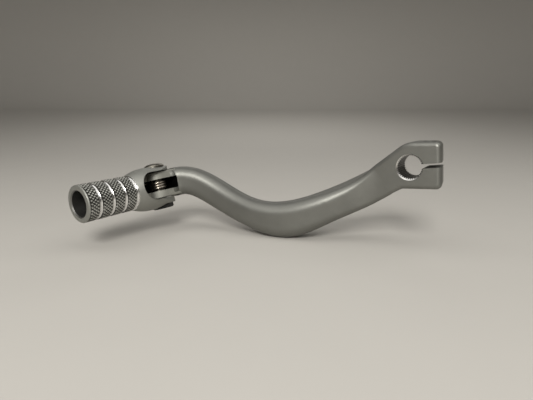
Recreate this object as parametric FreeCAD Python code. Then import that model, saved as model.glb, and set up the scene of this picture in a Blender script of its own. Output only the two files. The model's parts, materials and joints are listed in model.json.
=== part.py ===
"""Motorcycle gear shift lever for the left-hand side.

A forged aluminium arm has a splined pinch clamp at the shaft end. At its other end a tongue carries a
folding, knurled toe piece on a pivot bolt, with a torsion spring that swings the toe piece back out.

Millimetres and degrees. The origin is the centre of the spline bore, half way through the clamp. +Y runs
along the shift shaft towards the engine, -X runs forward along the arm, and +Z is up.
"""
import FreeCAD
import Part
import math
import os
from collections import namedtuple

from FreeCAD import Placement, Rotation, Vector

# Splined clamp eye
SPLINE_TEETH = 36
SPLINE_ROOT_DIAMETER = 12.0
SPLINE_TIP_DIAMETER = 11.0
SPLINE_TIP_SHARE = 0.42          # share of a tooth's pitch that is land at the tip diameter
SPLINE_ROOT_SHARE = 0.14         # share of a tooth's pitch that is land at the root diameter
CLAMP_THICKNESS = 16.0
SLIT_TILT = 7.5                  # slit and pinch bolt, rising towards the open end
UPPER_JAW_TILT = 2.0             # top of the eye, rising towards the open end
LOWER_JAW_TILT = 4.0             # underside of the eye, rising towards the open end
CLAMP_REACH = 13.5               # bore axis to the open end of the jaws
CLAMP_END_DRAFT = 6.0            # open end falls back towards the engine side
CLAMP_END_TILT = 5.0             # open end falls back towards the top
UPPER_JAW_HEIGHT = 11.9
LOWER_JAW_DEPTH = 10.6
CREST_RADIUS = 11.7              # round shoulder from the neck to the upper jaw
JAW_CORNER_RADIUS = 2.6
SLIT_WIDTH = 2.1
PINCH_OFFSET = 8.4               # bore axis to pinch bolt axis
PINCH_CLEARANCE_DIAMETER = 6.5   # upper jaw
PINCH_THREAD_DIAMETER = 5.0      # lower jaw, tapped M6
FORGED_EDGE_RADIUS = 2.2

# Neck between the eye and the arm
NECK_SLOPE = 36.0                # below the horizontal
NECK_RISE = 1.6                  # middle line above the bore axis
NECK_LENGTH = 14.0
NECK_HEIGHT = 16.4               # where the arm takes over
NECK_TAPER = 4.0                 # slope of top and underside against the middle line
NECK_UNDER_BLEND = 4.0

# Arm: five stations of its centre line, from the bore, with the section's sizes at each
FALL_FORWARD = 41.5
FALL_OUTWARD = 11.5
FALL_DOWN = 24.0
FALL_HEIGHT = 16.5
FALL_THICKNESS = 15.0
FALL_CORNER_RADIUS = 5.0
BEND_FORWARD = 60.8
BEND_OUTWARD = 19.5
BEND_DOWN = 31.2
BEND_HEIGHT = 19.3
BEND_THICKNESS = 14.2
BEND_CORNER_RADIUS = 6.0
RISE_FORWARD = 76.7
RISE_OUTWARD = 23.0
RISE_DOWN = 29.8
RISE_HEIGHT = 16.4
RISE_THICKNESS = 13.8
RISE_CORNER_RADIUS = 6.0
RUN_FORWARD = 102.2
RUN_OUTWARD = 25.0
RUN_DOWN = 20.5
RUN_HEIGHT = 15.6
RUN_THICKNESS = 13.6
RUN_CORNER_RADIUS = 5.8
ELBOW_FORWARD = 121.0
ELBOW_OUTWARD = 31.5
ELBOW_DOWN = 13.3
ELBOW_HEIGHT = 15.9
ELBOW_THICKNESS = 13.4
ELBOW_CORNER_RADIUS = 5.4
ROOT_HEIGHT = 16.8
ROOT_THICKNESS = 13.2
ROOT_CORNER = 4.6
STATION_SPACING = 6.0

# Pivot of the folding tip
PIVOT_FORWARD = 127.9
PIVOT_OUTWARD = 46.8
PIVOT_DOWN = 14.8
PIN_LEAN = 15.5                  # top of the pivot bolt leans forward
TIP_DROOP = 1.9                  # tip points down from the shaft's direction
TIP_SPLAY = 3.8                  # tip points forward from the shaft's direction
PIN_DIAMETER = 6.0
PIN_RUNNING_CLEARANCE = 0.05     # radial, bolt in the tongue
PIN_SEAT_CLEARANCE = 0.1         # radial, bolt in the fork's ears

# Tongue on the arm's end
TONGUE_WIDTH = 12.6
TONGUE_HEIGHT = 14.8
TONGUE_EDGE_CHAMFER = 0.5
TONGUE_ROOT_DISTANCE = 5.0       # pivot to where the arm's round section takes over
TONGUE_INNER_DISTANCE = 14.0     # pivot to where the side in the elbow's hollow runs out
SHOULDER_DISTANCE = 10.2         # pivot to the shoulders above and below the ears
SPRING_SLOT_HEIGHT = 6.5
SPRING_SLOT_END = 8.3            # pivot to the closed end of the slot
SPRING_SLOT_BACK_GAP = 0.3       # spring to the wall that closes the slot behind it
STOP_GAP = 0.2

# Folding tip
TIP_REACH = 47.6                 # pivot to the end face
BARREL_DROP = 0.8                # barrel's axis below the middle of the tongue
BARREL_DIAMETER = 18.5
NOSE_RADIUS = 1.6
END_HOLE_DIAMETER = 12.8
END_HOLE_DEPTH = 20.0
END_HOLE_CHAMFER = 0.5
DRILL_POINT_ANGLE = 118.0
GROOVE_COUNT = 4
GROOVE_PITCH = 6.9
GROOVE_END_DISTANCE = 6.5        # end face to the first groove
GROOVE_WIDTH = 1.7
FLARE_LENGTH = 11.5
FORK_DIAMETER = 23.6
FORK_SIDE_TAPER_LENGTH = 13.0    # pivot to where the sides start to narrow
EAR_RADIUS = 7.2
UPPER_EAR_THICKNESS = 2.3        # under the bolt head
LOWER_EAR_THICKNESS = 3.3        # above the nut
EAR_SEAT_RADIUS = 6.3            # round run-out of the flats under the bolt head and the nut
FORK_SLOT_DEPTH = 16.6           # pivot to the bottom of the round-ended slot
FORK_SIDE_GAP = 0.2              # between tongue and ear, each side

# Pivot bolt and thin nut
BOLT_HEAD_DIAMETER = 11.6
BOLT_HEAD_HEIGHT = 2.4
BOLT_HEAD_RIM = 0.7
BOLT_HEAD_CROWN_DIAMETER = 5.6
BOLT_HEAD_BULGE = 0.4            # how far the head's round stands off a straight cone
BOLT_SOCKET_ACROSS_FLATS = 4.0
BOLT_SOCKET_DEPTH = 1.6
BOLT_END_INSET = 0.2             # bolt's end inside the nut's lower face
BOLT_END_CHAMFER = 0.6
NUT_ACROSS_FLATS = 10.0
NUT_HEIGHT = 2.4
NUT_CORNER_ANGLE = 30.0          # slope of the turned rounding on the nut's corners
NUT_THREAD_CLEARANCE = 0.05

# Return spring
SPRING_WIRE_DIAMETER = 1.3
SPRING_MEAN_DIAMETER = 8.0
SPRING_TURNS = 3
SPRING_COIL_GAP = 0.12
SPRING_LEAD_RADIUS = 25.0        # gentle bend from the coil into each straight leg
SPRING_LEG_IN_HOLE = 2.5
SPRING_LEG_HOLE_CLEARANCE = 0.2
SPRING_LEG_HOLE_SPARE = 0.8

FAR = 200.0                      # longer than any cut
TOLERANCE = 1e-6

UP = Vector(0, 0, 1)
INWARD = Vector(0, 1, 0)

slit_frame = Placement(Vector(0, 0, 0), Rotation(INWARD, -SLIT_TILT))
pivot = Vector(-PIVOT_FORWARD, -PIVOT_OUTWARD, -PIVOT_DOWN)
tip_direction = Rotation(UP, -TIP_SPLAY).multiply(Rotation(Vector(1, 0, 0), TIP_DROOP))
hinge_frame = Placement(pivot, tip_direction.multiply(Rotation(INWARD, -PIN_LEAN)))

neck_down = Vector(-math.cos(math.radians(NECK_SLOPE)), 0, -math.sin(math.radians(NECK_SLOPE)))
neck_side = Vector(neck_down.z, 0, -neck_down.x)

ArmStation = namedtuple("ArmStation", "forward outward down height thickness corner")
arm_stations = [
    ArmStation(FALL_FORWARD, FALL_OUTWARD, FALL_DOWN,
               FALL_HEIGHT, FALL_THICKNESS, FALL_CORNER_RADIUS),
    ArmStation(BEND_FORWARD, BEND_OUTWARD, BEND_DOWN,
               BEND_HEIGHT, BEND_THICKNESS, BEND_CORNER_RADIUS),
    ArmStation(RISE_FORWARD, RISE_OUTWARD, RISE_DOWN,
               RISE_HEIGHT, RISE_THICKNESS, RISE_CORNER_RADIUS),
    ArmStation(RUN_FORWARD, RUN_OUTWARD, RUN_DOWN,
               RUN_HEIGHT, RUN_THICKNESS, RUN_CORNER_RADIUS),
    ArmStation(ELBOW_FORWARD, ELBOW_OUTWARD, ELBOW_DOWN,
               ELBOW_HEIGHT, ELBOW_THICKNESS, ELBOW_CORNER_RADIUS),
]

groove_stations = [-TIP_REACH + GROOVE_END_DISTANCE + i * GROOVE_PITCH for i in range(GROOVE_COUNT)]
fork_slot_height = TONGUE_HEIGHT + 2 * FORK_SIDE_GAP
fork_slot_radius = fork_slot_height / 2
fork_slot_centre = -FORK_SLOT_DEPTH + fork_slot_radius
head_seat = fork_slot_radius + UPPER_EAR_THICKNESS
nut_seat = -fork_slot_radius - LOWER_EAR_THICKNESS
nut_end = nut_seat - NUT_HEIGHT

spring_pitch = SPRING_WIRE_DIAMETER + SPRING_COIL_GAP
spring_rise = SPRING_TURNS * spring_pitch
spring_foot = -spring_rise / 2
spring_radius = SPRING_MEAN_DIAMETER / 2


def unit(vector):
    """The vector at length one."""
    return Vector(vector).normalize()


def line(start, end):
    """A straight edge."""
    return Part.LineSegment(start, end).toShape()


def arc(start, middle, end):
    """A circular edge through three points."""
    return Part.Arc(start, middle, end).toShape()


def arc_about(centre, start, end):
    """The shorter circular edge about a centre, from start to end."""
    radius = (start - centre).Length
    middle = centre + unit((start - centre) + (end - centre)) * radius
    return arc(start, middle, end)


def rounded_corner(before, corner, after, radius):
    """The arc that rounds a corner, with its two tangent points."""
    to_before = unit(before - corner)
    to_after = unit(after - corner)
    half_angle = to_before.getAngle(to_after) / 2
    start = corner + to_before * (radius / math.tan(half_angle))
    end = corner + to_after * (radius / math.tan(half_angle))
    bisector = unit(to_before + to_after)
    middle = corner + bisector * (radius / math.sin(half_angle) - radius)
    return arc(start, middle, end), start, end


def closed_outline(corners, radii):
    """A wire through the corners, each rounded by its radius, or sharp where that is zero."""
    count = len(corners)
    edges = []
    starts = []
    ends = []
    rounds = []
    for i, corner in enumerate(corners):
        if radii[i] > 0:
            edge, start, end = rounded_corner(corners[i - 1], corner, corners[(i + 1) % count], radii[i])
        else:
            edge, start, end = None, corner, corner
        rounds.append(edge)
        starts.append(start)
        ends.append(end)
    for i in range(count):
        if rounds[i]:
            edges.append(rounds[i])
        edges.append(line(ends[i], starts[(i + 1) % count]))
    return Part.Wire(edges)


def prism(wire, direction):
    """The solid swept by a flat outline."""
    return Part.Face(wire).extrude(direction)


def cylinder(radius, start, end):
    """A round bar between two points."""
    return Part.makeCylinder(radius, (end - start).Length, start, end - start)


def hexagon_prism(across_flats, start, end):
    """A six-sided bar between two heights on the hinge axis."""
    corner_radius = across_flats / math.sqrt(3)
    angles = [math.radians(60 * i) for i in range(6)]
    corners = [Vector(corner_radius * math.cos(a), corner_radius * math.sin(a), start) for a in angles]
    return prism(Part.makePolygon(corners + corners[:1]), Vector(0, 0, end - start))


def block(low, high):
    """A box between two corners."""
    size = high - low
    return Part.makeBox(size.x, size.y, size.z, low)


def turned(profile):
    """The solid turned about the hinge axis by a closed wire of radius (x) against height (z)."""
    return Part.Face(profile).revolve(Vector(0, 0, 0), UP, 360)


def on_hinge(shape):
    """A shape drawn about the pivot, moved to its place on the lever."""
    placed = shape.copy()
    placed.Placement = hinge_frame.multiply(placed.Placement)
    return placed


def slit_point(along, across):
    """A point in the clamp's middle plane, along the slit from the bore axis and across it."""
    return slit_frame.multVec(Vector(along, 0, across))


def jaw_line(height, tilt):
    """Start and direction of a jaw's outer side, in the clamp's middle plane."""
    turn = Rotation(INWARD, -tilt)
    return turn.multVec(UP * height), turn.multVec(Vector(1, 0, 0))


def neck_point(along, across):
    """A point of the neck's outline, along its middle line and across it."""
    return neck_down * along + neck_side * (across + NECK_RISE)


def lines_meet(point_a, along_a, point_b, along_b):
    """Where two lines in the XZ plane cross."""
    gap = point_b - point_a
    cross = along_a.x * along_b.z - along_a.z * along_b.x
    return point_a + along_a * ((gap.x * along_b.z - gap.z * along_b.x) / cross)


def eye_and_neck():
    """The clamp's forged block with the first stretch of the arm, before any machining."""
    top_start, top_way = jaw_line(UPPER_JAW_HEIGHT, UPPER_JAW_TILT)
    under_start, under_way = jaw_line(-LOWER_JAW_DEPTH, LOWER_JAW_TILT)
    neck_top = neck_point(NECK_LENGTH, NECK_HEIGHT / 2)
    neck_under = neck_point(NECK_LENGTH, -NECK_HEIGHT / 2)
    corners = [
        neck_top,
        lines_meet(top_start, top_way, neck_top, Rotation(INWARD, -NECK_TAPER).multVec(neck_down)),
        top_start + top_way * (2 * CLAMP_REACH),
        under_start + under_way * (2 * CLAMP_REACH),
        lines_meet(under_start, under_way, neck_under, Rotation(INWARD, NECK_TAPER).multVec(neck_down)),
        neck_under,
    ]
    outline = closed_outline(corners, [0, CREST_RADIUS, 0, 0, NECK_UNDER_BLEND, 0])
    outline.translate(INWARD * (-CLAMP_THICKNESS / 2))
    forged = prism(outline, INWARD * CLAMP_THICKNESS)
    beyond = block(Vector(0, -FAR / 2, -FAR / 2), Vector(FAR, FAR / 2, FAR / 2))
    end_turn = Rotation(INWARD, -CLAMP_END_TILT).multiply(Rotation(UP, CLAMP_END_DRAFT))
    beyond.Placement = Placement(Vector(CLAMP_REACH, 0, 0), end_turn)
    forged = forged.cut(beyond)
    corners = [edge for edge in forged.Edges if is_jaw_corner(edge)]
    forged = forged.makeFillet(JAW_CORNER_RADIUS, corners)
    rim = [edge for edge in forged.Edges if is_face_rim(edge)]
    return forged.makeFillet(FORGED_EDGE_RADIUS, rim)


def is_jaw_corner(edge):
    """Whether an edge of the eye's block runs across it at the open end."""
    first, last = edge.Vertexes[0].Point, edge.Vertexes[-1].Point
    return abs(first.y - last.y) > CLAMP_THICKNESS / 2 and min(first.x, last.x) > CLAMP_REACH / 2


def is_face_rim(edge):
    """Whether an edge of the eye's block lies round one of its two flat faces, the neck's cut apart."""
    middle = edge.valueAt((edge.FirstParameter + edge.LastParameter) / 2)
    on_face = abs(abs(middle.y) - CLAMP_THICKNESS / 2) < TOLERANCE
    flat = abs(edge.Vertexes[0].Y - edge.Vertexes[-1].Y) < TOLERANCE
    at_cut = abs(middle.dot(neck_down) - NECK_LENGTH) < TOLERANCE
    return on_face and flat and not at_cut


def spline_cutter():
    """The serrated bore as a solid, with a flat land at each tooth's tip and root."""
    pitch = 2 * math.pi / SPLINE_TEETH
    tip = SPLINE_TIP_DIAMETER / 2
    root = SPLINE_ROOT_DIAMETER / 2

    def bore_point(radius, angle):
        return slit_point(radius * math.cos(angle), radius * math.sin(angle))

    edges = []
    for i in range(SPLINE_TEETH):
        groove = i * pitch
        root_start = bore_point(root, groove - SPLINE_ROOT_SHARE * pitch / 2)
        root_end = bore_point(root, groove + SPLINE_ROOT_SHARE * pitch / 2)
        tip_start = bore_point(tip, groove + (1 - SPLINE_TIP_SHARE) * pitch / 2)
        tip_middle = bore_point(tip, groove + pitch / 2)
        tip_end = bore_point(tip, groove + (1 + SPLINE_TIP_SHARE) * pitch / 2)
        next_root = bore_point(root, groove + pitch - SPLINE_ROOT_SHARE * pitch / 2)
        edges.append(line(root_start, root_end))
        edges.append(line(root_end, tip_start))
        edges.append(arc(tip_start, tip_middle, tip_end))
        edges.append(line(tip_end, next_root))
    outline = Part.Wire(edges)
    outline.translate(INWARD * -FAR / 2)
    return prism(outline, INWARD * FAR)


def clamp_cuts():
    """Everything machined into the eye: serrated bore, slit and pinch bolt hole."""
    slit = block(Vector(0, -FAR / 2, -SLIT_WIDTH / 2), Vector(FAR, FAR / 2, SLIT_WIDTH / 2))
    slit.Placement = slit_frame.multiply(slit.Placement)
    upper_end = slit_point(PINCH_OFFSET, FAR)
    lower_end = slit_point(PINCH_OFFSET, -FAR)
    on_slit = slit_point(PINCH_OFFSET, 0)
    clearance_hole = cylinder(PINCH_CLEARANCE_DIAMETER / 2, on_slit, upper_end)
    tapped_hole = cylinder(PINCH_THREAD_DIAMETER / 2, on_slit, lower_end)
    return [spline_cutter(), slit, clearance_hole, tapped_hole]


def arm_line(stations, root):
    """The arm's centre line from the neck to the tongue's root, and how far along it each station is."""
    points = [neck_point(NECK_LENGTH, 0)]
    points += [Vector(-station.forward, -station.outward, -station.down) for station in stations]
    points.append(root)
    line_out = hinge_frame.Rotation.multVec(-INWARD)
    curve = Part.BSplineCurve()
    curve.interpolate(Points=points, InitialTangent=neck_down, FinalTangent=line_out)
    distances = [curve.length(curve.FirstParameter, curve.parameter(point)) for point in points[1:]]
    return curve, [0.0] + distances


def arm_sizes(stations, distances):
    """Height, thickness and corner radius as one smooth curve of the distance along the arm."""
    rows = [Vector(NECK_HEIGHT, CLAMP_THICKNESS, FORGED_EDGE_RADIUS)]
    rows += [Vector(station.height, station.thickness, station.corner) for station in stations]
    rows.append(Vector(ROOT_HEIGHT, ROOT_THICKNESS, ROOT_CORNER))
    narrowing = Vector(-2 * math.tan(math.radians(NECK_TAPER)), 0, 0)
    only_first = [True] + [False] * (len(rows) - 1)
    curve = Part.BSplineCurve()
    curve.interpolate(
        Points=rows,
        Parameters=distances,
        Tangents=[narrowing] * len(rows),
        TangentFlags=only_first,
        Scale=False,
    )
    return curve


def arm_section(point, way, lean, height, thickness, corner):
    """A rounded rectangle across the centre line, with its height near upright and leant about it."""
    upright = Vector(-math.sin(math.radians(lean)), 0, math.cos(math.radians(lean)))
    tall = unit(upright - way * upright.dot(way))
    wide = tall.cross(way)
    corners = [
        point + wide * (thickness / 2 * w) + tall * (height / 2 * t)
        for w, t in ((-1, -1), (1, -1), (1, 1), (-1, 1))
    ]
    return closed_outline(corners, [corner] * 4)


def neck_end(forged):
    """The outline of the flat where the eye's block meets the arm."""
    middle = neck_point(NECK_LENGTH, 0)
    return min(forged.Faces, key=lambda face: (face.CenterOfMass - middle).Length).OuterWire


def arm_body(first_outline):
    """The arm from the neck to the tongue's root, through sections across its centre line."""
    root = hinge_frame.multVec(INWARD * TONGUE_ROOT_DISTANCE)
    curve, distances = arm_line(arm_stations, root)
    sizes = arm_sizes(arm_stations, distances)
    elbow, end = distances[-2:]
    count = round(end / STATION_SPACING)
    sections = [first_outline]
    for i in range(1, count + 1):
        distance = end * i / count
        parameter = curve.parameterAtDistance(distance, curve.FirstParameter)
        past_elbow = max(distance - elbow, 0) / (end - elbow)
        lean = PIN_LEAN * past_elbow ** 2 * (3 - 2 * past_elbow)
        place, way = curve.value(parameter), curve.tangent(parameter)[0]
        sections.append(arm_section(place, way, lean, *sizes.value(distance)))
    return Part.makeLoft(sections, True)


def stop_reach():
    """How far the tongue's square heel reaches from the pivot, just short of the fork's round slot."""
    half = TONGUE_HEIGHT / 2
    slot_at_heel = -fork_slot_centre + math.sqrt(fork_slot_radius ** 2 - half ** 2)
    return slot_at_heel - STOP_GAP


def tongue():
    """The tongue: round on the side that the fork swings to, and square on the other as a stop."""
    half = TONGUE_WIDTH / 2
    heel = stop_reach()
    foot = -TONGUE_HEIGHT / 2

    def plan(x, y):
        return Vector(x, y, foot)

    outline = Part.Wire([
        line(plan(half, TONGUE_INNER_DISTANCE), plan(half, 0)),
        arc_about(plan(0, 0), plan(half, 0), plan(0, -half)),
        line(plan(0, -half), plan(0, -heel)),
        line(plan(0, -heel), plan(-half, -heel)),
        line(plan(-half, -heel), plan(-half, TONGUE_ROOT_DISTANCE)),
        line(plan(-half, TONGUE_ROOT_DISTANCE), plan(half, TONGUE_INNER_DISTANCE)),
    ])
    body = prism(outline, UP * TONGUE_HEIGHT)
    long_edges = [edge for edge in body.Edges if is_tongue_side_edge(edge)]
    return body.makeChamfer(TONGUE_EDGE_CHAMFER, long_edges)


def is_tongue_side_edge(edge):
    """Whether an edge runs along the tongue's top or bottom beside the arm's direction."""
    first, last = edge.Vertexes[0].Point, edge.Vertexes[-1].Point
    along = abs(first.x - last.x) < TOLERANCE and abs(first.z - last.z) < TOLERANCE
    return along and abs(abs(first.x) - TONGUE_WIDTH / 2) < TOLERANCE


def tongue_cuts():
    """The flats beside the ears, the slot for the spring, the pivot hole and the fixed leg's hole."""
    flat = TONGUE_HEIGHT / 2
    reach = FORK_DIAMETER
    upper = block(Vector(-reach, -reach, flat), Vector(reach, SHOULDER_DISTANCE, reach))
    lower = block(Vector(-reach, -reach, -reach), Vector(reach, SHOULDER_DISTANCE, -flat))
    level = SPRING_SLOT_HEIGHT / 2
    back = spring_radius + SPRING_WIRE_DIAMETER / 2 + SPRING_SLOT_BACK_GAP
    slot = block(Vector(-back, -FAR / 2, -level), Vector(FAR / 2, SPRING_SLOT_END, level))
    hole_radius = PIN_DIAMETER / 2 + PIN_RUNNING_CLEARANCE
    pin_hole = cylinder(hole_radius, UP * -TONGUE_HEIGHT, UP * TONGUE_HEIGHT)
    leg_start = Vector(-spring_radius, 0, spring_foot)
    leg_end = leg_start + INWARD * (SPRING_SLOT_END + SPRING_LEG_IN_HOLE + SPRING_LEG_HOLE_SPARE)
    leg_hole = cylinder(SPRING_WIRE_DIAMETER / 2 + SPRING_LEG_HOLE_CLEARANCE, leg_start, leg_end)
    return [on_hinge(cut) for cut in (upper, lower, slot, pin_hole, leg_hole)]


def make_lever_arm():
    """The whole forging, machined."""
    eye = eye_and_neck()
    forged = eye.fuse([arm_body(neck_end(eye)), on_hinge(tongue())])
    return forged.removeSplitter().cut(clamp_cuts() + tongue_cuts())


def barrel_and_neck():
    """The tip as it comes off the lathe: nose, grooved barrel, flare and the round of the fork."""
    barrel = BARREL_DIAMETER / 2
    fork = FORK_DIAMETER / 2
    flare_start = groove_stations[-1] + GROOVE_WIDTH / 2
    flare_end = flare_start + FLARE_LENGTH

    def profile_point(radius, station):
        return Vector(radius, station, -BARREL_DROP)

    nose_centre = profile_point(barrel - NOSE_RADIUS, -TIP_REACH + NOSE_RADIUS)
    nose_start = profile_point(barrel - NOSE_RADIUS, -TIP_REACH)
    nose_end = profile_point(barrel, -TIP_REACH + NOSE_RADIUS)
    rise = fork - barrel
    flare_radius = (FLARE_LENGTH ** 2 + rise ** 2) / (2 * rise)
    flare_centre = profile_point(fork - flare_radius, flare_end)
    outline = Part.Wire([
        line(profile_point(0, -TIP_REACH), nose_start),
        arc_about(nose_centre, nose_start, nose_end),
        line(nose_end, profile_point(barrel, flare_start)),
        arc_about(flare_centre, profile_point(barrel, flare_start), profile_point(fork, flare_end)),
        line(profile_point(fork, flare_end), profile_point(fork, EAR_RADIUS)),
        line(profile_point(fork, EAR_RADIUS), profile_point(0, EAR_RADIUS)),
        line(profile_point(0, EAR_RADIUS), profile_point(0, -TIP_REACH)),
    ])
    return Part.Face(outline).revolve(profile_point(0, 0), INWARD, 360)


def fork_plan():
    """The fork seen along the pivot: full width at the barrel, narrowing to the round ears."""
    fork = FORK_DIAMETER / 2
    corner_distance = math.hypot(fork, FORK_SIDE_TAPER_LENGTH)
    corner_angle = math.atan2(-FORK_SIDE_TAPER_LENGTH, fork)
    tangent_angle = corner_angle + math.acos(EAR_RADIUS / corner_distance)
    low = -UP * FORK_DIAMETER
    right_tangent = low + Vector(math.cos(tangent_angle), math.sin(tangent_angle), 0) * EAR_RADIUS
    left_tangent = Vector(-right_tangent.x, right_tangent.y, right_tangent.z)
    right_corner = low + Vector(fork, -FORK_SIDE_TAPER_LENGTH, 0)
    left_corner = Vector(-right_corner.x, right_corner.y, right_corner.z)
    right_end = low + Vector(fork, -TIP_REACH, 0)
    left_end = Vector(-right_end.x, right_end.y, right_end.z)
    outline = Part.Wire([
        line(right_end, right_corner),
        line(right_corner, right_tangent),
        arc(right_tangent, low + INWARD * EAR_RADIUS, left_tangent),
        line(left_tangent, left_corner),
        line(left_corner, left_end),
        line(left_end, right_end),
    ])
    return prism(outline, UP * 2 * FORK_DIAMETER)


def fork_slot():
    """The round-ended slot that takes the tongue, cut across the fork."""
    width = FORK_DIAMETER * 2
    start = Vector(-width / 2, fork_slot_centre, 0)
    round_end = cylinder(fork_slot_radius, start, start + Vector(width, 0, 0))
    low = Vector(-width / 2, fork_slot_centre, -fork_slot_radius)
    high = Vector(width / 2, FORK_DIAMETER, fork_slot_radius)
    return round_end.fuse(block(low, high))


def ear_seats():
    """The flats milled on the ears for the bolt head and the nut, open at the ears' ends."""
    seats = []
    for level, beyond in ((head_seat, FORK_DIAMETER), (nut_seat, -FORK_DIAMETER)):
        round_part = cylinder(EAR_SEAT_RADIUS, UP * level, UP * beyond)
        low, high = sorted((level, beyond))
        open_part = block(Vector(-FORK_DIAMETER, 0, low), Vector(FORK_DIAMETER, FORK_DIAMETER, high))
        seats.append(round_part.fuse(open_part))
    return seats


def end_hole():
    """The blind hole in the tip's end, with a chamfered mouth and a drilled bottom."""
    radius = END_HOLE_DIAMETER / 2
    mouth = Vector(0, -TIP_REACH, -BARREL_DROP)
    bottom = mouth + INWARD * END_HOLE_DEPTH
    point_depth = radius / math.tan(math.radians(DRILL_POINT_ANGLE / 2))
    hole = cylinder(radius, mouth, bottom)
    drill_point = Part.makeCone(radius, 0, point_depth, bottom, INWARD)
    chamfer = Part.makeCone(radius + END_HOLE_CHAMFER, radius, END_HOLE_CHAMFER, mouth, INWARD)
    return hole.fuse([drill_point, chamfer])


def make_folding_tip():
    """The toe piece: turned barrel, milled fork, pivot hole and the hole for the spring's moving leg."""
    tip = barrel_and_neck().common(fork_plan())
    groove_radius = GROOVE_WIDTH / 2
    grooves = [
        Part.makeTorus(BARREL_DIAMETER / 2, groove_radius, Vector(0, station, -BARREL_DROP), INWARD)
        for station in groove_stations
    ]
    pin_hole = cylinder(PIN_DIAMETER / 2 + PIN_SEAT_CLEARANCE, UP * -FORK_DIAMETER, UP * FORK_DIAMETER)
    leg_start = Vector(-spring_radius, 0, spring_foot + spring_rise)
    leg_end = leg_start - INWARD * (moving_leg_length() + SPRING_LEG_HOLE_SPARE)
    leg_hole = cylinder(SPRING_WIRE_DIAMETER / 2 + SPRING_LEG_HOLE_CLEARANCE, leg_start, leg_end)
    cuts = grooves + ear_seats() + [end_hole(), fork_slot(), pin_hole, leg_hole]
    return on_hinge(tip.cut(cuts))


def moving_leg_length():
    """Pivot to the end of the spring's leg in the fork, a little way into its hole."""
    height = spring_foot + spring_rise
    slot_bottom = -fork_slot_centre + math.sqrt(fork_slot_radius ** 2 - height ** 2)
    return slot_bottom + SPRING_LEG_IN_HOLE


def make_pivot_bolt():
    """A low round-headed bolt with a hexagon socket, from the upper ear down into the nut."""
    shank = PIN_DIAMETER / 2
    head = BOLT_HEAD_DIAMETER / 2
    crown = BOLT_HEAD_CROWN_DIAMETER / 2
    top = head_seat + BOLT_HEAD_HEIGHT
    end = nut_end + BOLT_END_INSET
    rim = Vector(head, 0, head_seat + BOLT_HEAD_RIM)
    crown_edge = Vector(crown, 0, top)
    chord = crown_edge - rim
    bulge = unit(Vector(chord.z, 0, -chord.x)) * BOLT_HEAD_BULGE
    profile = Part.Wire([
        line(Vector(0, 0, end), Vector(shank - BOLT_END_CHAMFER, 0, end)),
        line(Vector(shank - BOLT_END_CHAMFER, 0, end), Vector(shank, 0, end + BOLT_END_CHAMFER)),
        line(Vector(shank, 0, end + BOLT_END_CHAMFER), Vector(shank, 0, head_seat)),
        line(Vector(shank, 0, head_seat), Vector(head, 0, head_seat)),
        line(Vector(head, 0, head_seat), rim),
        arc(rim, rim + chord / 2 + bulge, crown_edge),
        line(crown_edge, Vector(0, 0, top)),
        line(Vector(0, 0, top), Vector(0, 0, end)),
    ])
    socket = hexagon_prism(BOLT_SOCKET_ACROSS_FLATS, top - BOLT_SOCKET_DEPTH, top + BOLT_SOCKET_DEPTH)
    return on_hinge(turned(profile).cut(socket))


def make_pivot_nut():
    """A thin hexagon nut, its lower corners rounded off on the lathe."""
    hexagon = hexagon_prism(NUT_ACROSS_FLATS, nut_seat, nut_end)
    flats = NUT_ACROSS_FLATS / 2
    spread = NUT_HEIGHT / math.tan(math.radians(NUT_CORNER_ANGLE))
    rounding = Part.makeCone(flats, flats + spread, NUT_HEIGHT, UP * nut_end, UP)
    bore = cylinder(PIN_DIAMETER / 2 + NUT_THREAD_CLEARANCE, UP * FAR, UP * -FAR)
    return on_hinge(hexagon.common(rounding).cut(bore))


def make_return_spring():
    """A torsion spring round the bolt: one leg in the tongue, a close coil, and one leg in the fork."""
    climb = math.atan(spring_pitch / (2 * math.pi * spring_radius))
    lead = SPRING_LEAD_RADIUS * math.sin(climb)
    lift = SPRING_LEAD_RADIUS * (1 - math.cos(climb))
    half_lead = SPRING_LEAD_RADIUS * math.sin(climb / 2)
    half_lift = SPRING_LEAD_RADIUS * (1 - math.cos(climb / 2))
    foot = Vector(-spring_radius, 0, spring_foot)
    head = foot + UP * spring_rise

    fixed_end = foot + Vector(0, SPRING_SLOT_END + SPRING_LEG_IN_HOLE, -lift)
    fixed_bend = foot + Vector(0, lead, -lift)
    fixed_middle = fixed_bend + Vector(0, -half_lead, half_lift)
    moving_bend = head + Vector(0, -lead, lift)
    moving_middle = moving_bend + Vector(0, half_lead, -half_lift)
    moving_end = head + Vector(0, -moving_leg_length(), lift)

    coil = Part.makeHelix(spring_pitch, spring_rise, spring_radius)
    coil.Placement = Placement(UP * spring_foot, Rotation(UP, 180))
    path = Part.Wire(
        [line(fixed_end, fixed_bend), arc(fixed_bend, fixed_middle, foot)]
        + coil.Edges
        + [arc(head, moving_middle, moving_bend), line(moving_bend, moving_end)]
    )
    section = Part.Wire([Part.makeCircle(SPRING_WIRE_DIAMETER / 2, fixed_end, INWARD)])
    return on_hinge(path.makePipeShell([section], True, False))


NODES = {
    "lever_arm": make_lever_arm,
    "folding_tip": make_folding_tip,
    "pivot_bolt": make_pivot_bolt,
    "pivot_nut": make_pivot_nut,
    "return_spring": make_return_spring,
}

os.makedirs("parts", exist_ok=True)
for name, make in NODES.items():
    solid = make()
    print(name, "valid" if solid.isValid() else "NOT VALID", len(solid.Solids), round(solid.Volume, 1))
    solid.exportStep(f"parts/{name}.step")
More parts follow.
